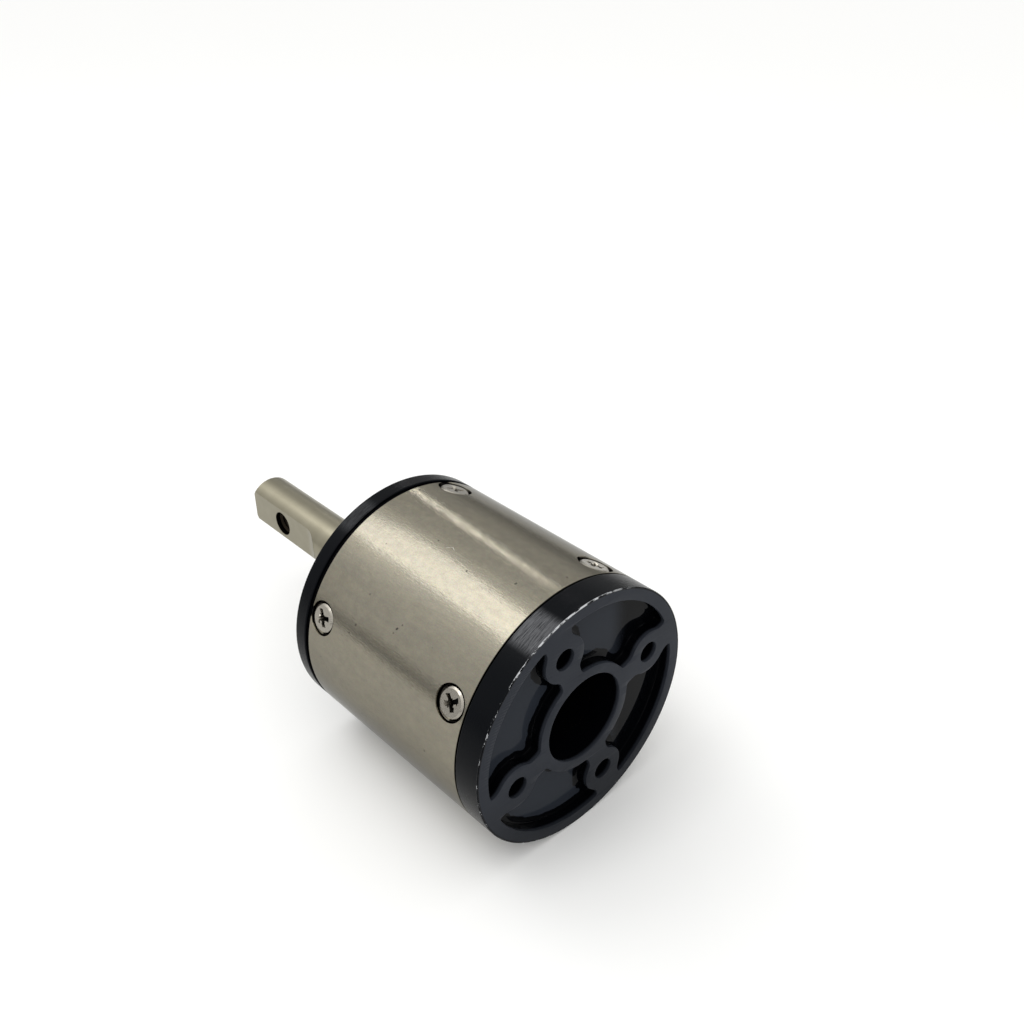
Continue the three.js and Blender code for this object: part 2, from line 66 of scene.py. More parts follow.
# ------------------------------------------------------------------ sizes, in millimetres
# Heights are measured along the gearbox axis from the motor face, as the gearbox is drawn.
MM = 0.001
FACE_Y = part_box("input_end_cap")[0].y / MM
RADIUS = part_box("housing_tube")[1].z / MM
TUBE_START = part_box("housing_tube")[0].y / MM - FACE_Y
TUBE_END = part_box("housing_tube")[1].y / MM - FACE_Y
TUBE_WALL = 1.6
SPIGOT_RADIUS = 26.2

INPUT_FLANGE = 6.0
INPUT_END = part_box("input_end_cap")[1].y / MM - FACE_Y
BORE_RADIUS = 9.75
PILOT_RING = 12.0
RIM_INNER = 25.2
POCKET_DEPTH = 2.6
POCKET_LEVELS = (1.0, 1.8, 2.6, 3.4)
HOLE_CIRCLE = 19.0
HOLE_ANGLE = 19.0
HOLE_RADIUS = 2.3
HEAD_POCKET_RADIUS = 4.1
HEAD_POCKET_START = 6.0
EAR_RADIUS = 5.0
INNER_WEB = 2.6
OUTER_WEB = 3.3
CORNER_SOFTNESS = 0.35

OUTPUT_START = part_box("output_end_cap")[0].y / MM - FACE_Y
OUTPUT_STEP = 53.2
OUTPUT_STEP_RADIUS = 27.2
OUTPUT_FLANGE = 54.1
OUTPUT_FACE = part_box("output_end_cap")[1].y / MM - FACE_Y
CARRIER_POCKET = 20.6
CARRIER_POCKET_END = 47.65
BEARING_SEAT = 12.15
BEARING_END = 53.95
SEAL_SEAT = 10.65
FIXING_HOLE = 2.0
FIXING_DEPTH = 8.0

SCREW_SETS = {"input": (63.6, 10.4), "output": (68.8, 49.3)}
SCREW_TURNS = {"input": (17, 129, 151, 218), "output": (48, 115, 182, 249)}
SCREW_TOP = 27.75
SCREW_TIP = 20.4
HEAD_RADIUS = 3.05
SHANK_RADIUS = 1.5
COUNTERSINK = 3.62
COUNTERSINK_WALL = 0.8
SCREW_HOLE = 1.75
# Where the painted shade in each countersink is lifted on its lit wall: an angle and a spread.
LIT_WALL = math.radians(20)
LIT_SPREAD = math.radians(28)
RECESS_SPAN = 2.0
RECESS_ARM = 0.56
RECESS_DEPTH = 1.6
CHIPS = 9
SCREW_SEED = 7

SHAFT_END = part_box("output_shaft")[1].y / MM - FACE_Y
SHAFT_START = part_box("output_shaft")[0].y / MM - FACE_Y
SHAFT_RADIUS = 5.97
COLLAR_START = 46.6
COLLAR_END = 47.6
GROOVE_START = 53.95
GROOVE_END = 55.05
FLAT_DISTANCE = 4.5
FLAT_START = 88.2
FLAT_CUTTER = 8.0
CROSS_HOLE_Y = 99.1
THREAD_MINOR = 2.55
THREAD_MAJOR = 3.0
THREAD_PITCH = 1.0

# Camera: where it stands from the centre of the motor face, in units of the nominal housing radius (a
# faceted tube's box is a little smaller), its angles, its lens and its sensor width.
CAMERA_AT = Vector((-4.137, -3.674, 5.154))
CAMERA_AZIMUTH = -43.14
CAMERA_ELEVATION = 32.23
CAMERA_UNIT = 28.0
CAMERA_LENS = 37.69
CAMERA_SENSOR = 36.0

# Radiance of the studio by angle round the gearbox axis, from the +X horizon over the top to the -X one.
SKY = [(0, 0.38), (10, 0.43), (18, 0.66), (30, 0.72), (47, 0.66), (58, 0.84), (70, 0.90), (80, 1.25),
       (92, 1.4), (112, 1.6), (122, 1.35), (134, 1.05), (146, 0.92), (165, 0.86), (175, 0.80), (180, 0.45)]
# How much of it is taken away towards the shaft end, and how much more on the +X side.
DIM_AT_END = 0.28
DIM_MORE_AT_SIDE = 0.14

# The floor: its colour in what lights the gearbox, its colour as the camera sees it, and the darker
# colour it takes on far out on the -X side, between two distances in metres.
FLOOR_HALF = 3.0
FLOOR_LIT = (0.74, 0.74, 0.735)
FLOOR_SEEN = (0.93, 0.93, 0.925)
FLOOR_FAR = (0.34, 0.34, 0.34)
FLOOR_FADE = (-0.22, -0.34)


def at(x, y, z):
    """A point measured from the motor face in millimetres, as a row-frame point in metres."""
    return Vector((x, y + FACE_Y, z)) * MM


# ------------------------------------------------------------------ mesh building
class Shell:
    """Collects loops of vertices and the faces between them, in millimetres from the motor face."""

    def __init__(self):
        self.points = []
        self.faces = []

    def loop(self, points):
        first = len(self.points)
        self.points.extend(tuple(p) for p in points)
        return list(range(first, len(self.points)))

    def strip(self, a, b):
        """Quads between two loops of the same length."""
        for i in range(len(a)):
            j = (i + 1) % len(a)
            self.faces.append((a[i], a[j], b[j], b[i]))

    def skin(self, loops):
        """Loops joined one after another. Returns the first and the last one."""
        made = [self.loop(points) for points in loops]
        for a, b in zip(made, made[1:]):
            self.strip(a, b)
        return made[0], made[-1]

    def fill(self, outer, holes=()):
        """A flat face inside a loop, with holes."""
        loops = [outer, *holes]
        order = [v for one in loops for v in one]
        corners = [[Vector(self.points[v]) for v in one] for one in loops]
        for triangle in tessellate_polygon(corners):
            self.faces.append(tuple(order[i] for i in triangle))

    def mesh(self, name):
        data = bpy.data.meshes.new(name)
        data.from_pydata([at(*p) for p in self.points], [], self.faces)
        cleaned = bmesh.new()
        cleaned.from_mesh(data)
        bmesh.ops.remove_doubles(cleaned, verts=cleaned.verts, dist=1e-7)
        bmesh.ops.recalc_face_normals(cleaned, faces=cleaned.faces)
        cleaned.to_mesh(data)
        cleaned.free()
        return data


def circle(radius, y, segments, centre=(0.0, 0.0)):
    """A loop round a line along Y."""
    angles = np.arange(segments) * 2 * math.pi / segments
    return [(centre[0] + radius * math.cos(a), y, centre[1] + radius * math.sin(a)) for a in angles]


def polar(radius, degrees):
    """X and Z of a point at an angle from +X towards +Z."""
    return radius * math.cos(math.radians(degrees)), radius * math.sin(math.radians(degrees))


def spaced(count, first=0.0):
    return [first + i * 360 / count for i in range(count)]


def eased(corner, before, after, size, steps=3):
    """Points that round a profile corner between its two neighbours."""
    corner, before, after = (np.array(p, float) for p in (corner, before, after))
    start = corner + (before - corner) / np.linalg.norm(before - corner) * size
    end = corner + (after - corner) / np.linalg.norm(after - corner) * size
    curve = []
    for t in np.linspace(0, 1, steps + 1):
        curve.append(tuple((1 - t) ** 2 * start + 2 * t * (1 - t) * corner + t * t * end))
    return curve


def rounded(profile, sizes, closed=True):
    """A profile with its corners rounded by the given sizes."""
    points = []
    for i, (corner, size) in enumerate(zip(profile, sizes)):
        before = profile[i - 1]
        after = profile[(i + 1) % len(profile)]
        open_end = not closed and i in (0, len(profile) - 1)
        points.extend([corner] if size == 0 or open_end else eased(corner, before, after, size))
    return points


def turned(profile, segments, centre=(0.0, 0.0)):
    """A closed profile of (radius, y) turned about Y."""
    shell = Shell()
    loops = [shell.loop(circle(radius, y, segments, centre)) for radius, y in profile]
    for a, b in zip(loops, loops[1:] + loops[:1]):
        shell.strip(a, b)
    return shell


def lathed_rod(profile, segments):
    """A profile of (radius, y) from one end to the other, closed by a flat face at each end."""
    shell = Shell()
    first, last = shell.skin([circle(radius, y, segments) for radius, y in profile])
    shell.fill(first)
    shell.fill(last)
    return shell


def smooth(data, degrees=32):
    """Smooth shading with sharp edges above an angle."""
    data.shade_smooth()
    data.set_sharp_from_angle(angle=math.radians(degrees))


def add_piece(name, data, material, body, nodes):
    """A finished piece that stands for CAD nodes and rides on their body."""
    piece = bpy.data.objects.new(name, data)
    bpy.context.scene.collection.objects.link(piece)
    data.materials.clear()
    data.materials.append(material)
    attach(piece, body)
    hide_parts(*nodes)
    return piece


def keep_flats_flat(piece):
    """Weighted normals, so that a rounded edge doesn't shade the flat face beside it."""
    modifier = piece.modifiers.new("flat_faces", "WEIGHTED_NORMAL")
    modifier.keep_sharp = True
    modifier.weight = 100


def cut_with(data, cutters):
    """Cuts cutter meshes from a mesh and returns the result as new mesh data."""
    scene = bpy.context.scene
    base = bpy.data.objects.new("cut_base", data)
    scene.collection.objects.link(base)
    tools = []
    for cutter in cutters:
        tool = bpy.data.objects.new("cut_tool", cutter)
        scene.collection.objects.link(tool)
        tools.append(tool)
        modifier = base.modifiers.new("cut", "BOOLEAN")
        modifier.operation = "DIFFERENCE"
        modifier.solver = "EXACT"
        modifier.object = tool
    result = bpy.data.meshes.new_from_object(base.evaluated_get(bpy.context.evaluated_depsgraph_get()))
    for made in [base, *tools]:
        bpy.data.objects.remove(made)
    return result


def aimed_out(data, degrees, y):
    """Turns a mesh drawn along +Y from the motor face so that it points outwards at an angle."""
    origin = at(0, 0, 0)
    turn = Matrix.Rotation(-math.radians(degrees), 4, "Y") @ Matrix.Rotation(-math.pi / 2, 4, "Z")
    data.transform(Matrix.Translation(at(0, y, 0)) @ turn @ Matrix.Translation(-origin))
    return data


def store_painted_light(data, amount):
    """Stores a number at each vertex for the shaders: how much painted shade there is, or, in the pockets of
    the input cap, how far the point is from a wall, which places a painted reflection."""
    layer = data.attributes.new("painted_light", "FLOAT", "POINT")
    for vertex, item in zip(data.vertices, layer.data):
        item.value = amount(vertex.co.x / MM, vertex.co.y / MM - FACE_Y, vertex.co.z / MM)


def set_round_normals(data, radius, tolerance=0.06):
    """Exact normals on the faces that lie on a cylinder about the gearbox axis."""
    smooth(data)
    normals = [Vector(n.vector) for n in data.corner_normals]
    for face in data.polygons:
        centre = Vector((face.center.x, 0, face.center.z))
        on_surface = abs(centre.length / MM - radius) < tolerance
        if not on_surface or abs(face.normal.dot(centre.normalized())) < 0.98:
            continue
        sign = math.copysign(1, face.normal.dot(centre))
        for corner in face.loop_indices:
            vertex = data.vertices[data.loops[corner].vertex_index].co
            normals[corner] = Vector((vertex.x, 0, vertex.z)).normalized() * sign
    data.normals_split_custom_set([tuple(n) for n in normals])


# ------------------------------------------------------------------ shader building
def put(tree, socket, value):
    """Links a socket to another one, or sets it to a plain value."""
    if isinstance(value, bpy.types.NodeSocket):
        tree.links.new(value, socket)
    else:
        socket.default_value = value


def add_node(tree, kind, inputs=(), **settings):
    """A node with its settings made and its inputs filled."""
    node = tree.nodes.new(kind)
    for key, value in settings.items():
        setattr(node, key, value)
    for key, value in dict(inputs).items():
        put(tree, node.inputs[key], value)
    return node


class Paint:
    """A Principled material under construction. Sockets are passed on as values."""

    def __init__(self, name, **constants):
        self.material = bpy.data.materials.new(name)
        self.material.use_nodes = True
        self.tree = self.material.node_tree
        self.shader = self.tree.nodes["Principled BSDF"]
        for socket, value in constants.items():
            self.shader.inputs[socket.replace("_", " ")].default_value = value
        place = self.tree.nodes.new("ShaderNodeTexCoord").outputs["Object"]
        x, y, z = self.split(self.scaled(place, (1 / MM, 1 / MM, 1 / MM)))
        self.x, self.z = x, z
        self.y = self.math("SUBTRACT", y, FACE_Y)
        self.place = self.join(x, self.y, z)
        self.angle = self.math("ARCTAN2", z, x)
        self.radius = self.math("SQRT", self.math("ADD", self.times(x, x), self.times(z, z)))
        self.arc = self.times(self.angle, RADIUS)

    def make(self, kind, inputs=(), output=0, **settings):
        return add_node(self.tree, kind, inputs, **settings).outputs[output]

    def math(self, operation, a, b=0.0, c=0.0, clamp=False):
        return self.make("ShaderNodeMath", {0: a, 1: b, 2: c}, operation=operation, use_clamp=clamp)

    def times(self, a, b):
        return self.math("MULTIPLY", a, b)

    def scaled(self, vector, factors):
        return self.make("ShaderNodeVectorMath", {0: vector, 1: factors}, operation="MULTIPLY")

    def split(self, vector):
        return add_node(self.tree, "ShaderNodeSeparateXYZ", {0: vector}).outputs

    def join(self, x, y, z):
        return self.make("ShaderNodeCombineXYZ", {0: x, 1: y, 2: z})

    def round_place(self, around, along, deep=1.0):
        """Coordinates wrapped round the axis: arc length, height and depth, each with its own scale."""
        return self.join(
            self.times(self.arc, around),
            self.times(self.y, along),
            self.times(self.radius, deep))

    def noise(self, vector, scale=1.0, detail=2.0, roughness=0.5, distortion=0.0):
        inputs = {"Vector": vector, "Scale": scale, "Detail": detail, "Roughness": roughness,
                  "Distortion": distortion}
        return self.make("ShaderNodeTexNoise", inputs)

    def spread(self, value, low, high, to_low=0.0, to_high=1.0):
        """Maps a range to another, smoothly and clamped."""
        inputs = {0: value, 1: low, 2: high, 3: to_low, 4: to_high}
        return self.make("ShaderNodeMapRange", inputs, interpolation_type="SMOOTHSTEP")

    def blend(self, factor, a, b):
        return self.make("ShaderNodeMix", {"Factor": factor, 6: a, 7: b}, output=2, data_type="RGBA")

    def window(self, value, low, high, soft):
        """One between two values, falling smoothly to zero outside them."""
        return self.times(self.spread(value, low - soft, low), self.spread(value, high + soft, high))

    def stroke(self, start, end, width):
        """A short mark on the tube, between two points given as degrees round the axis and height."""
        ends = [(math.radians(angle) * RADIUS, y, 0.0) for angle, y in (start, end)]
        run = tuple(b - a for a, b in zip(*ends))
        here = self.make("ShaderNodeVectorMath", {0: self.join(self.arc, self.y, 0.0), 1: ends[0]},
                         operation="SUBTRACT")
        along = self.make("ShaderNodeVectorMath", {0: here, 1: run}, output=1, operation="DOT_PRODUCT")
        travel = self.math("DIVIDE", along, sum(c * c for c in run), clamp=True)
        nearest = self.make("ShaderNodeVectorMath", {0: run, "Scale": travel}, operation="SCALE")
        away = self.make("ShaderNodeVectorMath", {0: here, 1: nearest}, output=1, operation="DISTANCE")
        return self.spread(away, width, width * 0.4)

    def bump(self, height, distance, below=None):
        """A bump whose full height is given in metres."""
        inputs = {"Height": height, "Distance": distance, "Strength": 1.0}
        if below is not None:
            inputs["Normal"] = below
        return self.make("ShaderNodeBump", inputs)

    def painted_light(self):
        """The number kept at the vertices: painted shade, or the distance that places the painted reflection
        in the cap's pockets.
        """
        return self.make("ShaderNodeAttribute", output="Fac", attribute_name="painted_light")

    def finish(self, color=None, roughness=None, normal=None):
        for socket, value in (("Base Color", color), ("Roughness", roughness), ("Normal", normal)):
            if value is not None:
                put(self.tree, self.shader.inputs[socket], value)
        return self.material


def rgb(red, green, blue):
    return (red, green, blue, 1.0)


# ------------------------------------------------------------------ materials
def tube_steel():
    """Satin steel: blotches, mottling, speckle along the axis, dark specks, one pit, one small scratch, and
    painted shade in the countersinks.
    """
    paint = Paint("housing_steel", Metallic=1.0, Specular_Tint=rgb(0.62, 0.62, 0.62))
    blotch = paint.noise(paint.round_place(0.16, 0.09), detail=5.0, roughness=0.68)
    streak = paint.noise(paint.round_place(0.7, 0.05), detail=3.0, roughness=0.6)
    speckle = paint.noise(paint.round_place(2.6, 0.9), detail=2.0, roughness=0.6)
    grain = paint.noise(paint.round_place(9.0, 5.0), detail=2.0, roughness=0.7)
    speck = paint.spread(paint.noise(paint.round_place(0.9, 0.9), detail=0.0), 0.84, 0.86)
    tint = paint.make("ShaderNodeTexNoise", {"Vector": paint.round_place(1.1, 0.6), "Detail": 2.0}, output=1)
    scratch = paint.math("MAXIMUM", paint.stroke((103.4, 30.2), (102.6, 31.1), 0.07),
                         paint.stroke((102.6, 31.1), (104.4, 32.0), 0.05))
    pit = paint.stroke((142.2, 28.9), (142.7, 29.1), 0.26)
    mottle = paint.spread(paint.noise(paint.round_place(0.7, 0.45), detail=4.0, roughness=0.7), 0.25, 0.75)
    sparkle = paint.spread(paint.noise(paint.round_place(2.8, 0.45), detail=2.0), 0.50, 0.72)
    warm = paint.blend(blotch, rgb(0.240, 0.216, 0.157), rgb(0.338, 0.307, 0.229))
    brushed = paint.blend(paint.spread(streak, 0.35, 0.7, 0.0, 0.35), warm, rgb(0.225, 0.212, 0.180))
    brushed = paint.blend(paint.times(mottle, 0.32), brushed, rgb(0.150, 0.136, 0.102))
    brushed = paint.blend(0.10, brushed, tint)
    color = paint.blend(paint.times(speck, 0.6), brushed, rgb(0.05, 0.045, 0.04))
    color = paint.blend(paint.times(pit, 0.8), color, rgb(0.02, 0.018, 0.016))
    color = paint.blend(paint.times(scratch, 0.6), color, rgb(0.75, 0.73, 0.68))
    # Painted shade in the countersinks, from the number stored on the mesh.
    color = paint.blend(paint.painted_light(), color, rgb(0.008, 0.007, 0.006))
    roughness = paint.math("MULTIPLY_ADD", grain, 0.06, paint.math("MULTIPLY_ADD", speckle, 0.10, 0.05))
    roughness = paint.math("MULTIPLY_ADD", mottle, 0.05, roughness)
    surface = paint.bump(paint.noise(paint.round_place(0.09, 0.03), detail=1.0), 0.00016)
    surface = paint.bump(speckle, 0.000018, below=surface)
    surface = paint.bump(sparkle, 0.000004, below=surface)
    return paint.finish(color, roughness, surface)


def shaft_steel():
    """Satin steel, turned and milled, with painted shade inside the cross hole."""
    paint = Paint("shaft_steel", Metallic=1.0)
    turning = paint.noise(paint.join(0.0, paint.times(paint.y, 5.0), 0.0), detail=2.0)
    blotch = paint.noise(paint.place, scale=0.3, detail=3.0)
    color = paint.blend(blotch, rgb(0.275, 0.253, 0.185), rgb(0.345, 0.32, 0.243))
    # Painted shade inside the cross hole.
    color = paint.blend(paint.painted_light(), color, rgb(0.018, 0.014, 0.010))
    roughness = paint.math("MULTIPLY_ADD", turning, 0.08, 0.26)
    return paint.finish(color, roughness, paint.bump(turning, 0.000001))


def cap_plastic():
    """Black plastic: a glossy band with scuffs that are partly painted highlight, a face with painted shade
    towards the bottom, pockets with a painted reflection on their floors, and a pale edge on one side, partly
    chips, partly painted highlight.
    """
    paint = Paint("cap_plastic", Specular_IOR_Level=0.06)
    turning = paint.noise(paint.round_place(0.22, 12.0), detail=3.0, roughness=0.6)
    scuffs = paint.noise(paint.round_place(0.30, 7.0), detail=4.0, roughness=0.75, distortion=0.6)
    degrees = paint.times(paint.angle, 180 / math.pi)
    on_band = paint.spread(paint.radius, RADIUS - 0.5, RADIUS - 0.2)
    in_pocket = paint.spread(paint.y, 0.4, 1.0)
    # Paler scuffs on the band, kept to the angles where the strip light's highlight falls and fainter towards
    # the output end: partly scuffs, partly painted highlight.
    rubbed_and_highlight = paint.times(paint.window(degrees, 108.0, 119.0, 5.0), paint.spread(scuffs, 0.36, 0.56))
    near_face = paint.spread(paint.y, 30.0, 20.0, 0.3, 1.0)
    rubbed_and_highlight = paint.times(paint.times(rubbed_and_highlight, on_band), near_face)
    # A pale, matt line of chips along the top of the face's edge, on the -X side: partly chips, partly painted
    # highlight where the overhead light falls.
    chip = paint.noise(paint.round_place(0.42, 1.6), detail=5.0, roughness=0.78)
    edge = paint.times(paint.spread(paint.radius, RADIUS - 0.30, RADIUS - 0.18),
                      paint.spread(paint.y, 0.30, 0.14))
    bare_and_lit = paint.math("MULTIPLY_ADD", paint.window(degrees, 72.0, 116.0, 10.0), 0.09, chip)
    chipped_and_lit_side = paint.spread(paint.x, 14.0, 2.0)
    chips_and_highlight = paint.times(paint.times(edge, chipped_and_lit_side), paint.spread(bare_and_lit, 0.56, 0.59))
    band_base = paint.blend(paint.spread(scuffs, 0.60, 0.78, 0.0, 0.2), rgb(0.0022, 0.0028, 0.0040),
                            rgb(0.020, 0.021, 0.023))
    band_base = paint.blend(paint.times(rubbed_and_highlight, 0.8), band_base, rgb(0.13, 0.132, 0.14))
    cloud = paint.noise(paint.place, scale=0.12, detail=3.0)
    face_base = paint.blend(cloud, rgb(0.020, 0.023, 0.030), rgb(0.033, 0.037, 0.047))
    # Painted shade: the face darker towards the bottom (-Z).
    face_base = paint.blend(paint.spread(paint.z, 0.0, -22.0, 0.0, 0.6), face_base, rgb(0.006, 0.007, 0.009))
    # Painted reflection on the pocket floors: grey in the middle of the pockets away from +X, black near the
    # walls.
    ragged = paint.noise(paint.place, scale=0.35, detail=1.0)
    reflection_edge = paint.math("MULTIPLY_ADD", ragged, 0.5, paint.painted_light())
    painted_reflection = paint.times(paint.spread(reflection_edge, 0.66, 0.70), paint.spread(paint.x, 14.0, 8.0))
    pocket_base = paint.blend(painted_reflection, rgb(0.0010, 0.0012, 0.0018), rgb(0.022, 0.026, 0.034))
    base = paint.blend(on_band, paint.blend(in_pocket, face_base, pocket_base), band_base)
    # Pale chips and painted highlight on the edge.
    color = paint.blend(chips_and_highlight, base, rgb(0.55, 0.56, 0.58))
    face_rough = paint.math("MULTIPLY_ADD", paint.noise(paint.place, scale=0.8, detail=3.0), 0.12, 0.26)
    moulded = paint.math("MULTIPLY_ADD", paint.noise(paint.place, scale=1.6, detail=2.0), 0.03, 0.03)
    band_rough = paint.math("MULTIPLY_ADD", scuffs, 0.26, 0.06)
    gloss = paint.make("ShaderNodeMix", {"Factor": in_pocket, 2: face_rough, 3: moulded})
    gloss = paint.make("ShaderNodeMix", {"Factor": on_band, 2: gloss, 3: band_rough})
    gloss = paint.make("ShaderNodeMix", {"Factor": chips_and_highlight, 2: gloss, 3: 0.7})
    marks = paint.times(paint.math("ADD", turning, scuffs), on_band)
    surface = paint.bump(marks, 0.000012)
    surface = paint.bump(paint.times(chip, edge), 0.00010, below=surface)
    return paint.finish(color, gloss, surface)


def metal(name, dark, light, low_rough, high_rough, scale=1.2, bump=0.000006):
    """A plain metal with blotches of colour and gloss, a fine grain, and painted shade where a mesh marks it.
    """
    paint = Paint(name, Metallic=1.0)
    blotch = paint.noise(paint.place, scale=scale, detail=4.0, roughness=0.6)
    grain = paint.noise(paint.place, scale=scale * 5, detail=2.0)
    color = paint.blend(blotch, dark, light)
    # Painted shade where the mesh stores it, as in the screw recesses.
    color = paint.blend(paint.painted_light(), color, rgb(0.006, 0.005, 0.005))
    roughness = paint.spread(grain, 0.3, 0.7, low_rough, high_rough)
    return paint.finish(color, roughness, paint.bump(grain, bump))


def rubber():
    """Matt black rubber with a little dust."""
    paint = Paint("seal_rubber")
    dust = paint.noise(paint.place, scale=0.9, detail=4.0, roughness=0.65)
    dusty = paint.spread(dust, 0.5, 0.8, 0.0, 0.5)
    color = paint.blend(dusty, rgb(0.012, 0.012, 0.013), rgb(0.06, 0.058, 0.055))
    return paint.finish(color, paint.spread(dust, 0.3, 0.7, 0.55, 0.8), paint.bump(dust, 0.00003))


MATERIALS = {
    "housing_steel": tube_steel(),
    "cap_plastic": cap_plastic(),
    "screw_nickel": metal("screw_nickel", rgb(0.36, 0.335, 0.29), rgb(0.44, 0.415, 0.365), 0.20, 0.32),
    "gear_steel": metal("gear_steel", rgb(0.20, 0.20, 0.205), rgb(0.34, 0.335, 0.33), 0.22, 0.42),
    "washer_bronze": metal("washer_bronze", rgb(0.42, 0.27, 0.12), rgb(0.58, 0.40, 0.20), 0.30, 0.50),
    "pin_steel": metal("pin_steel", rgb(0.55, 0.55, 0.55), rgb(0.66, 0.66, 0.66), 0.10, 0.20),
    "carrier_steel": metal("carrier_steel", rgb(0.27, 0.27, 0.265), rgb(0.38, 0.375, 0.365), 0.28, 0.46),
    "shaft_steel": shaft_steel(),
    "bearing_steel": metal("bearing_steel", rgb(0.55, 0.55, 0.56), rgb(0.68, 0.68, 0.69), 0.08, 0.16),
    "seal_rubber": rubber(),
}


# ------------------------------------------------------------------ input end cap
def room_in_pocket(points):
    """How far inside a pocket each point is, for the pocket between ears along +X and +Z."""
    reach = np.linalg.norm(points, axis=-1)
    rooms = [reach - PILOT_RING, RIM_INNER - reach]
    for along, across in ((points[..., 0], points[..., 1]), (points[..., 1], points[..., 0])):
        rooms.append(np.hypot(along - HOLE_CIRCLE, across) - EAR_RADIUS)
        rooms.append(np.maximum(across - INNER_WEB, along - HOLE_CIRCLE))
        rooms.append(np.maximum(across - OUTER_WEB, HOLE_CIRCLE - along))
    return -CORNER_SOFTNESS * np.log(sum(np.exp(-room / CORNER_SOFTNESS) for room in rooms))


def pocket_loop(level, y, turn, segments=288):
    """The loop where a pocket has this much room: zero is its wall, and more is further inside."""
    centre = np.array(polar(HOLE_CIRCLE, 45.0))
    angles = np.arange(segments) * 2 * math.pi / segments
    rays = np.stack([np.cos(angles), np.sin(angles)], axis=-1)
    steps = np.arange(0.0, RIM_INNER, 0.05)
    room = room_in_pocket(centre + steps[:, None, None] * rays) - level
    first = np.argmax(room < 0, axis=0)
    low, high = steps[first - 1], steps[first]
    for _ in range(12):
        middle = (low + high) / 2
        inside = room_in_pocket(centre + middle[:, None] * rays) > level
        low, high = np.where(inside, middle, low), np.where(inside, high, middle)
    flat = centre + low[:, None] * rays
    cos, sin = math.cos(math.radians(turn)), math.sin(math.radians(turn))
    return [(x * cos - z * sin, y, x * sin + z * cos) for x, z in flat]


def input_cap():
    shell = Shell()
    edge, soft, foot = 0.25, 0.12, 0.35
    rim = rounded(
        [(RADIUS, 0), (RADIUS, INPUT_FLANGE), (SPIGOT_RADIUS, INPUT_FLANGE), (SPIGOT_RADIUS, INPUT_END)],
        [0, edge, soft, 0], closed=False)
    rim = eased((RADIUS, 0), (0, 0), (RADIUS, INPUT_FLANGE), edge) + rim[1:]
    face_outer, back_outer = shell.skin([circle(r, y, 256) for r, y in rim])
    bore = eased((BORE_RADIUS, 0), (RADIUS, 0), (BORE_RADIUS, INPUT_END), edge) + [(BORE_RADIUS, INPUT_END)]
    face_bore, back_bore = shell.skin([circle(r, y, 144) for r, y in bore])
    face_holes, back_holes = [face_bore], [back_bore]
    for angle in spaced(4, HOLE_ANGLE):
        hole = eased((HOLE_RADIUS, 0), (RADIUS, 0), (HOLE_RADIUS, INPUT_END), soft)
        hole += [(HOLE_RADIUS, HEAD_POCKET_START), (HEAD_POCKET_RADIUS, HEAD_POCKET_START)]
        hole += [(HEAD_POCKET_RADIUS, INPUT_END)]
        mouth, back = shell.skin([circle(r, y, 56, polar(HOLE_CIRCLE, angle)) for r, y in hole])
        face_holes.append(mouth)
        back_holes.append(back)
        wall = [(-soft, 0), (-soft * 0.3, soft * 0.3), (0, soft), (0, POCKET_DEPTH - foot)]
        wall += [(foot * 0.3, POCKET_DEPTH - foot * 0.3), (foot, POCKET_DEPTH)]
        wall += [(level, POCKET_DEPTH) for level in POCKET_LEVELS]
        mouth, floor = shell.skin([pocket_loop(level, y, angle) for level, y in wall])
        face_holes.append(mouth)
        shell.fill(floor)
    shell.fill(face_outer, face_holes)
    shell.fill(back_outer, back_holes)
    data = shell.mesh("input_cap")

    # The distance from the walls places the painted reflection on the pocket floors.
    def painted_reflection(x, y, z):
        """How far a point of a pocket's floor is from its walls, up to one."""
        if abs(y - POCKET_DEPTH) > 0.01:
            return 0.0
        turn = -math.radians(HOLE_ANGLE + 90 * round((math.degrees(math.atan2(z, x)) - HOLE_ANGLE - 45) / 90))
        flat = np.array([x * math.cos(turn) - z * math.sin(turn), x * math.sin(turn) + z * math.cos(turn)])
        return float(min(1.0, room_in_pocket(flat) / POCKET_LEVELS[-1]))

    store_painted_light(data, painted_reflection)
    smooth(data, 40)
    cap = add_piece("input_cap", data, MATERIALS["cap_plastic"], "housing", ["input_end_cap"])
    keep_flats_flat(cap)


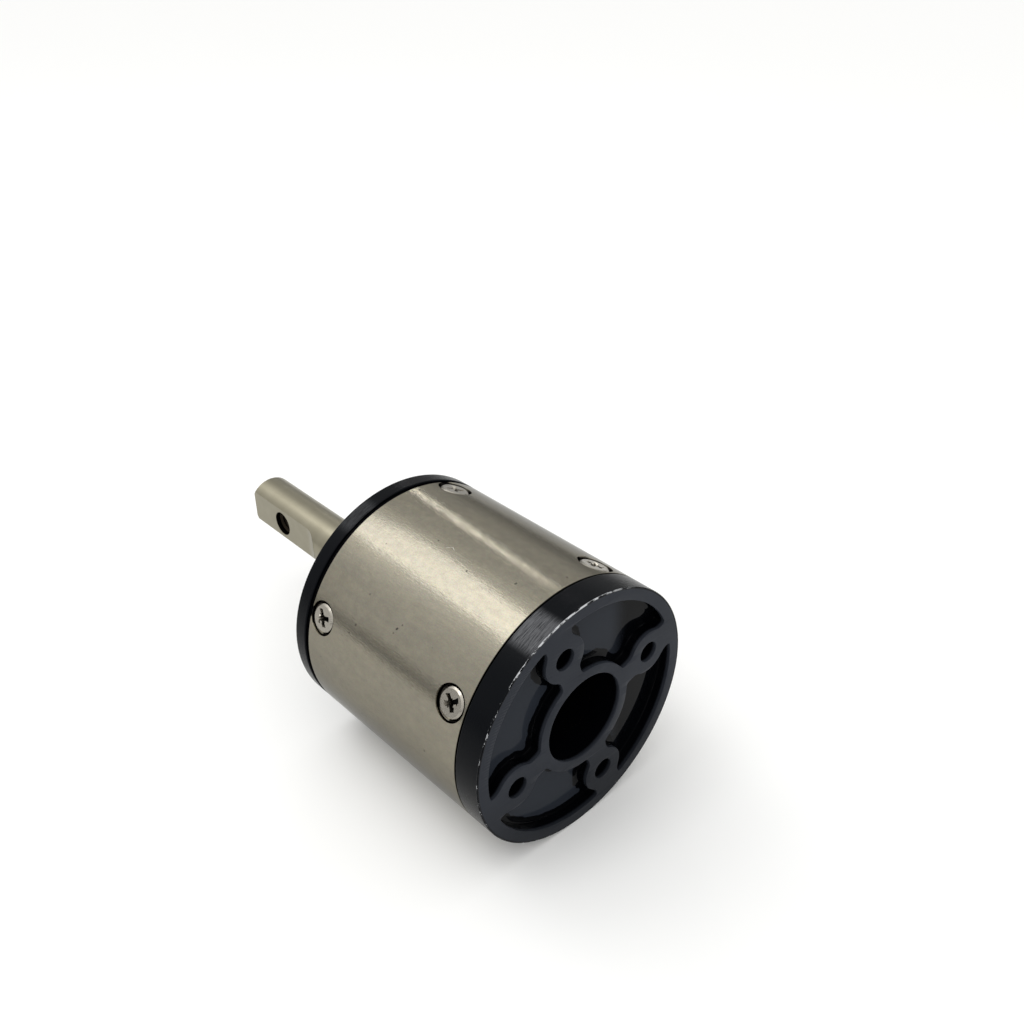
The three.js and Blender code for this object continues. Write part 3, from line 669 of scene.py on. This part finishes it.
# ------------------------------------------------------------------ output end cap and seal
def output_cap():
    shell = Shell()
    edge, soft = 0.3, 0.12
    outside = rounded(
        [(SPIGOT_RADIUS, OUTPUT_START), (SPIGOT_RADIUS, OUTPUT_STEP), (OUTPUT_STEP_RADIUS, OUTPUT_STEP),
         (OUTPUT_STEP_RADIUS, OUTPUT_FLANGE), (RADIUS, OUTPUT_FLANGE), (RADIUS, OUTPUT_FACE)],
        [0, 0, soft, soft, edge, 0], closed=False)
    outside = outside[:-1] + eased((RADIUS, OUTPUT_FACE), (RADIUS, 0), (0, OUTPUT_FACE), edge)
    start_outer, face_outer = shell.skin([circle(r, y, 256) for r, y in outside])
    inside = [(CARRIER_POCKET, OUTPUT_START), (CARRIER_POCKET, CARRIER_POCKET_END),
              (BEARING_SEAT, CARRIER_POCKET_END), (BEARING_SEAT, BEARING_END), (SEAL_SEAT, BEARING_END)]
    inside += eased((SEAL_SEAT, OUTPUT_FACE), (SEAL_SEAT, 0), (RADIUS, OUTPUT_FACE), edge)
    start_inner, face_inner = shell.skin([circle(r, y, 144) for r, y in inside])
    holes = [face_inner]
    for angle in spaced(4, HOLE_ANGLE):
        bottom = OUTPUT_FACE - FIXING_DEPTH
        hole = eased((FIXING_HOLE, OUTPUT_FACE), (RADIUS, OUTPUT_FACE), (FIXING_HOLE, bottom), edge)
        hole += [(FIXING_HOLE, bottom)]
        mouth, floor = shell.skin([circle(r, y, 48, polar(HOLE_CIRCLE, angle)) for r, y in hole])
        holes.append(mouth)
        shell.fill(floor)
    shell.fill(face_outer, holes)
    shell.fill(start_outer, [start_inner])
    data = shell.mesh("output_cap")
    smooth(data, 40)
    cap = add_piece("output_cap", data, MATERIALS["cap_plastic"], "housing",
                    ["output_end_cap"])
    keep_flats_flat(cap)


def seal():
    """The shaft seal: a rubber ring with a rounded outer shoulder and a lip on the shaft."""
    low, high = (corner.y / MM - FACE_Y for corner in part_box("shaft_seal"))
    inner, outer = SHAFT_RADIUS + 0.18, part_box("shaft_seal")[1].x / MM
    lip = inner + 1.1
    profile = [(inner, low), (outer, low), (outer, high), (outer - 1.2, high), (outer - 1.5, high - 0.5),
               (lip + 0.5, high - 0.5), (lip, high - 0.1), (inner + 0.2, high - 0.25)]
    data = turned(rounded(profile, [0, 0.1, 0.2, 0.1, 0.1, 0.1, 0.1, 0.1]), 128).mesh("shaft_lip_seal")
    smooth(data, 40)
    add_piece("shaft_lip_seal", data, MATERIALS["seal_rubber"], "housing", ["shaft_seal"])


# ------------------------------------------------------------------ housing tube and screws
def countersink_tool():
    """The cutter of one countersunk hole, drawn along +Y at its distance from the gearbox axis."""
    lip, slope = 0.3, 0.4
    profile = [(SCREW_HOLE, RADIUS - TUBE_WALL - 1), (SCREW_HOLE, RADIUS - TUBE_WALL),
               (COUNTERSINK - 0.17, RADIUS - COUNTERSINK_WALL), (COUNTERSINK, RADIUS - lip),
               (COUNTERSINK + slope * (1 + lip), RADIUS + 1)]
    shell = lathed_rod(profile, 64)
    return shell.mesh("countersink")


def tube():
    lip = 0.25
    profile = rounded(
        [(RADIUS - TUBE_WALL, TUBE_START), (RADIUS, TUBE_START), (RADIUS, TUBE_END),
         (RADIUS - TUBE_WALL, TUBE_END)],
        [0, lip, lip, 0])
    data = turned(profile, 288).mesh("tube")
    tools = []
    for first, y in SCREW_SETS.values():
        tools += [aimed_out(countersink_tool(), angle, y) for angle in spaced(4, first)]
    data = cut_with(data, tools)
    near_hole = COUNTERSINK + 0.7
    edge_depth, edge_fade, shade_lift_when_lit = 0.03, 0.06, 0.75

    # Painted shade on the countersink walls, lifted on the side of each that faces the light.
    def countersink_shade(x, y, z):
        depth = RADIUS - math.hypot(x, z)
        near = [height for _, height in SCREW_SETS.values() if abs(y - height) < near_hole]
        if not near or depth > TUBE_WALL - 0.01:
            return 0.0
        first = next(angle for angle, height in SCREW_SETS.values() if height == near[0])
        around = (math.degrees(math.atan2(z, x)) - first + 45) % 90 - 45
        lit = math.atan2(y - near[0], math.radians(around) * RADIUS)
        shade_lift = shade_lift_when_lit if abs(lit - LIT_WALL) < LIT_SPREAD else 0.0
        return min(1.0, max(0.0, depth - edge_depth) / edge_fade) - shade_lift * (depth > edge_depth)

    store_painted_light(data, countersink_shade)
    set_round_normals(data, RADIUS)
    add_piece("steel_tube", data, MATERIALS["housing_steel"], "housing", ["housing_tube"])


def recess_tools(luck):
    """Cutters of a battered cross recess: four tapered arms, a pointed middle and chips between them."""
    tools = []
    for turn in (0, 90, 180, 270):
        bend = luck.uniform(-0.42, 0.42)
        reach = RECESS_SPAN * luck.uniform(0.82, 1.08)
        shell = Shell()
        loops = []
        for grow, y in ((1.2, SCREW_TOP + 0.5), (1.0, SCREW_TOP), (0.6, SCREW_TOP - RECESS_DEPTH)):
            half = reach * grow
            waist, flare = RECESS_ARM * 0.8 * grow, RECESS_ARM * 1.1 * grow
            outline = [(-0.2, -waist), (half * 0.55, bend * 0.2 - waist), (half, bend - flare),
                       (half * 0.92, bend + flare * 0.7), (half * 0.5, bend * 0.3 + waist), (-0.2, waist)]
            cos, sin = math.cos(math.radians(turn)), math.sin(math.radians(turn))
            loops.append([(a * cos - b * sin, y, a * sin + b * cos) for a, b in outline])
        first, last = shell.skin(loops)
        shell.fill(first)
        shell.fill(last)
        tools.append(shell.mesh("recess_arm"))
    middle = [(1.0, SCREW_TOP + 0.4), (0.82, SCREW_TOP), (0.4, SCREW_TOP - RECESS_DEPTH - 0.3)]
    tools.append(lathed_rod(middle, 24).mesh("recess_middle"))
    for _ in range(CHIPS):
        away, around = luck.uniform(0.7, 1.5), luck.uniform(0, 360)
        size, depth = luck.uniform(0.15, 0.38), luck.uniform(0.2, 0.6)
        chip = turned([(0.02, SCREW_TOP - depth), (size, SCREW_TOP + 0.02), (size, SCREW_TOP + 0.3),
                       (0.02, SCREW_TOP + 0.3)], 7, polar(away, around))
        tools.append(chip.mesh("recess_chip"))
    return tools


def screw_mesh(luck):
    """A countersunk screw with a rounded rim and ring-shaped thread ridges, drawn along +Y."""
    rim, rim_drop, chamfer_drop = 0.40, 0.40, 0.25
    neck = SCREW_TOP - rim_drop - (HEAD_RADIUS - SHANK_RADIUS)
    profile = [(0.9, SCREW_TIP), (SHANK_RADIUS - 0.2, SCREW_TIP + 0.6)]
    y = SCREW_TIP + 0.8
    while y < neck - 0.6:
        profile += [(SHANK_RADIUS, y), (SHANK_RADIUS - 0.25, y + 0.25)]
        y += 0.5
    profile += [(SHANK_RADIUS, neck), (HEAD_RADIUS, SCREW_TOP - rim_drop)]
    profile += [(HEAD_RADIUS, SCREW_TOP - chamfer_drop - 0.03),
                (HEAD_RADIUS - 0.03, SCREW_TOP - chamfer_drop), (HEAD_RADIUS - rim, SCREW_TOP)]
    data = cut_with(lathed_rod(profile, 72).mesh("screw_body"), recess_tools(luck))

    # Painted shade in the cross recess, darker with depth.
    def recess_shade(x, y, z):
        if math.hypot(x, z) >= HEAD_RADIUS - rim - 0.05:
            return 0.0
        return min(1.0, max(0.0, SCREW_TOP - 0.02 - y) / 0.12)

    store_painted_light(data, recess_shade)
    return data


def screws():
    luck = random.Random(SCREW_SEED)
    for end, (first, y) in SCREW_SETS.items():
        for i, angle in enumerate(spaced(4, first)):
            name = f"{end}_screw_{i + 1}"
            data = screw_mesh(luck)
            twist = Matrix.Rotation(math.radians(SCREW_TURNS[end][i]), 4, "Y")
            origin = Matrix.Translation(at(0, 0, 0))
            data.transform(origin @ twist @ origin.inverted())
            aimed_out(data, angle, y)
            smooth(data, 24)
            screw = add_piece(name, data, MATERIALS["screw_nickel"], "housing",
                              [f"{end}_cap_screw_{i + 1}"])
            edge = screw.modifiers.new("edge", "BEVEL")
            edge.width = 0.05 * MM
            edge.segments = 2
            edge.limit_method = "ANGLE"
            edge.angle_limit = math.radians(35)


# ------------------------------------------------------------------ output shaft
def flat_distance(y):
    """How far the milled flat is from the axis: level, after the round run-out that the cutter leaves."""
    if y >= FLAT_START:
        return FLAT_DISTANCE
    before = min(FLAT_CUTTER, FLAT_START - y)
    return min(SHAFT_RADIUS, FLAT_DISTANCE + FLAT_CUTTER - math.sqrt(FLAT_CUTTER ** 2 - before ** 2))


def shaft_section(radius, y, distance, round_points=120, flat_points=24):
    """One section of the shaft, with the side towards -X cut off at a distance from the axis."""
    limit = math.acos(-min(1.0, distance / radius))
    points = [polar(radius, math.degrees(a)) for a in np.linspace(-limit, limit, round_points)]
    low, high = points[0], points[-1]
    for t in np.linspace(0, 1, flat_points + 2)[1:-1]:
        points.append((high[0] + (low[0] - high[0]) * t, high[1] + (low[1] - high[1]) * t))
    return [(x, y, z) for x, z in points]


def shaft():
    hub, collar, groove, end_edge = 7.0, 8.0, 5.5, 0.5
    stations = [(hub - 0.3, SHAFT_START), (hub, SHAFT_START + 0.3), (hub, COLLAR_START),
                (collar, COLLAR_START), (collar, COLLAR_END), (SHAFT_RADIUS, COLLAR_END),
                (SHAFT_RADIUS, GROOVE_START), (groove, GROOVE_START), (groove, GROOVE_END),
                (SHAFT_RADIUS, GROOVE_END)]
    depth = SHAFT_RADIUS - FLAT_DISTANCE
    run_out = math.sqrt(2 * FLAT_CUTTER * depth - depth ** 2)
    stations += [(SHAFT_RADIUS, FLAT_START - run_out * t) for t in np.linspace(1, 0, 17)]
    stations += [(SHAFT_RADIUS, SHAFT_END - end_edge), (SHAFT_RADIUS - end_edge, SHAFT_END)]
    shell = Shell()
    loops = []
    for radius, y in stations:
        distance = min(radius, flat_distance(y)) if y > GROOVE_END else radius
        loops.append(shaft_section(radius, y, distance))
    first, last = shell.skin(loops)
    shell.fill(first)
    shell.fill(last)
    data = shell.mesh("shaft")
    thread = [(THREAD_MAJOR, -FLAT_DISTANCE - 4.0)]
    y = -SHAFT_RADIUS - 0.2
    while y < FLAT_DISTANCE - 0.9:
        thread += [(THREAD_MINOR, y), (THREAD_MAJOR, y + THREAD_PITCH / 2)]
        y += THREAD_PITCH
    thread += [(THREAD_MAJOR, FLAT_DISTANCE - 0.7), (THREAD_MAJOR, FLAT_DISTANCE - 0.12),
               (THREAD_MAJOR + 0.04, FLAT_DISTANCE), (THREAD_MAJOR + 0.04, FLAT_DISTANCE + 1.0)]
    tool = aimed_out(lathed_rod(thread, 64).mesh("thread_tool"), 180, CROSS_HOLE_Y)
    data = cut_with(data, [tool])

    # Painted shade inside the cross hole, up to its mouth on the flat.
    def cross_hole_shade(x, y, z):
        inside = math.hypot(y - CROSS_HOLE_Y, z) < THREAD_MAJOR + 0.1 and x < SHAFT_RADIUS - 0.8
        return 1.0 if inside and x > -FLAT_DISTANCE + 0.05 else 0.0

    store_painted_light(data, cross_hole_shade)
    smooth(data, 24)
    piece = add_piece("drive_shaft", data, MATERIALS["shaft_steel"], "output_assembly",
                      ["output_shaft"])
    keep_flats_flat(piece)


# ------------------------------------------------------------------ inner works
def finish_cad_nodes():
    """Gives each CAD node that stays shown its slot's material and a fine edge."""
    slots = {row["node"]: row["material_slot"] for row in frame["record"]["subparts"]}
    for node, piece in frame["nodes"].items():
        if piece.hide_render:
            continue
        piece.data.materials.clear()
        piece.data.materials.append(MATERIALS[slots[node]])
        edge = piece.modifiers.new("edge", "BEVEL")
        edge.width = 0.08 * MM
        edge.segments = 1
        edge.limit_method = "ANGLE"
        edge.angle_limit = math.radians(50)


# ------------------------------------------------------------------ studio
def camera():
    data = bpy.data.cameras.new("camera")
    data.sensor_width = CAMERA_SENSOR
    data.lens = CAMERA_LENS
    data.clip_start, data.clip_end = 0.01, 20.0
    stand = bpy.data.objects.new("camera", data)
    bpy.context.scene.collection.objects.link(stand)
    azimuth, elevation = math.radians(CAMERA_AZIMUTH), math.radians(CAMERA_ELEVATION)
    back = Vector((math.sin(azimuth) * math.cos(elevation), -math.cos(azimuth) * math.cos(elevation),
                   math.sin(elevation)))
    stand.location = at(0, 0, 0) + CAMERA_AT * CAMERA_UNIT * MM
    stand.rotation_mode = "QUATERNION"
    stand.rotation_quaternion = (-back).to_track_quat("-Z", "Y")
    bpy.context.scene.camera = stand


def soft_box(name, around, cone, spread_around, spread_along, radiance, tilt=0.0, distance=0.7):
    """A rectangular light aimed at the middle of the tube. Its place is an angle round the gearbox axis,
    from +X towards +Z, and an angle from the axis; its two sizes are angles too."""
    a, c = math.radians(around), math.radians(cone)
    out = Vector((math.sin(c) * math.cos(a), math.cos(c), math.sin(c) * math.sin(a)))
    across = Vector((-math.sin(a), 0, math.cos(a)))
    light = bpy.data.lights.new(name, "AREA")
    light.shape = "RECTANGLE"
    light.size = 2 * distance * math.tan(math.radians(spread_around) * math.sin(c) / 2)
    light.size_y = 2 * distance * math.tan(math.radians(spread_along) / 2)
    light.energy = radiance * math.pi * light.size * light.size_y
    lamp = bpy.data.objects.new(name, light)
    bpy.context.scene.collection.objects.link(lamp)
    lamp.location = at(0, (TUBE_START + TUBE_END) / 2, 0) + out * distance
    facing = Matrix((across, out.cross(across), out)).transposed()
    lamp.rotation_mode = "QUATERNION"
    lamp.rotation_quaternion = (facing @ Matrix.Rotation(math.radians(tilt), 3, "Z")).to_quaternion()


def sky():
    """A studio whose radiance depends on the angle round the gearbox axis, dimmer towards +X and +Y."""
    world = bpy.data.worlds.new("studio")
    bpy.context.scene.world = world
    world.use_nodes = True
    tree = world.node_tree

    def math_node(operation, *values):
        return add_node(tree, "ShaderNodeMath", dict(enumerate(values)), operation=operation).outputs[0]

    def fade(value, low, high):
        inputs = {0: value, 1: low, 2: high}
        return add_node(tree, "ShaderNodeMapRange", inputs, interpolation_type="SMOOTHSTEP").outputs[0]

    direction = add_node(tree, "ShaderNodeTexCoord").outputs["Generated"]
    part = add_node(tree, "ShaderNodeSeparateXYZ", {0: direction}).outputs
    up = math_node("MAXIMUM", part["Z"], 0.0)
    turn = math_node("DIVIDE", math_node("ARCTAN2", up, part["X"]), math.pi)
    ramp = add_node(tree, "ShaderNodeValToRGB", {0: turn})
    stops = ramp.color_ramp.elements
    while len(stops) < len(SKY):
        stops.new(0.5)
    for stop, (degrees, radiance) in zip(stops, SKY):
        stop.position = degrees / 180
        stop.color = rgb(radiance, radiance, radiance)
    ramp.color_ramp.interpolation = "EASE"
    side, end = fade(part["X"], 0.15, 0.40), fade(part["Y"], 0.68, 0.78)
    depth = math_node("MULTIPLY_ADD", side, DIM_MORE_AT_SIDE, DIM_AT_END)
    keep = math_node("SUBTRACT", 1.0, math_node("MULTIPLY", depth, end))
    light = math_node("MULTIPLY", ramp.outputs["Color"], keep)
    tree.links.new(light, tree.nodes["Background"].inputs["Strength"])
    tree.nodes["Background"].inputs["Color"].default_value = rgb(1.0, 1.0, 0.99)


def studio():
    lowest, half = cad_box[0].z, FLOOR_HALF
    corners = [(x, y, lowest) for x, y in ((-half, -half), (half, -half), (half, half), (-half, half))]
    data = bpy.data.meshes.new("floor")
    data.from_pydata(corners, [], [(0, 1, 2, 3)])
    floor = bpy.data.objects.new("floor", data)
    bpy.context.scene.collection.objects.link(floor)
    paper = bpy.data.materials.new("floor_paper")
    paper.use_nodes = True
    tree = paper.node_tree
    place = add_node(tree, "ShaderNodeTexCoord").outputs["Object"]
    part = add_node(tree, "ShaderNodeSeparateXYZ", {0: place}).outputs
    fade = add_node(tree, "ShaderNodeMapRange", {0: part["X"], 1: FLOOR_FADE[0], 2: FLOOR_FADE[1]},
                    interpolation_type="SMOOTHSTEP").outputs[0]
    seen = add_node(tree, "ShaderNodeLightPath").outputs["Is Camera Ray"]
    near = add_node(tree, "ShaderNodeMix", {"Factor": seen, 6: rgb(*FLOOR_LIT), 7: rgb(*FLOOR_SEEN)},
                    data_type="RGBA").outputs[2]
    color = add_node(tree, "ShaderNodeMix", {"Factor": fade, 6: near, 7: rgb(*FLOOR_FAR)},
                     data_type="RGBA").outputs[2]
    shader = tree.nodes["Principled BSDF"].inputs
    tree.links.new(color, shader["Base Color"])
    shader["Roughness"].default_value = 0.9
    shader["Specular IOR Level"].default_value = 0.2
    data.materials.append(paper)
    sky()
    soft_box("strip", 102, 56, 25, 26, 1.35, tilt=-24)
    soft_box("thin_line", 47.2, 51, 0.8, 18, 12.0, tilt=-39)
    soft_box("overhead", 114, 82, 22, 14, 4.0)
    bpy.context.scene.view_settings.view_transform = "Standard"


camera()
input_cap()
output_cap()
seal()
tube()
screws()
shaft()
finish_cad_nodes()
studio()
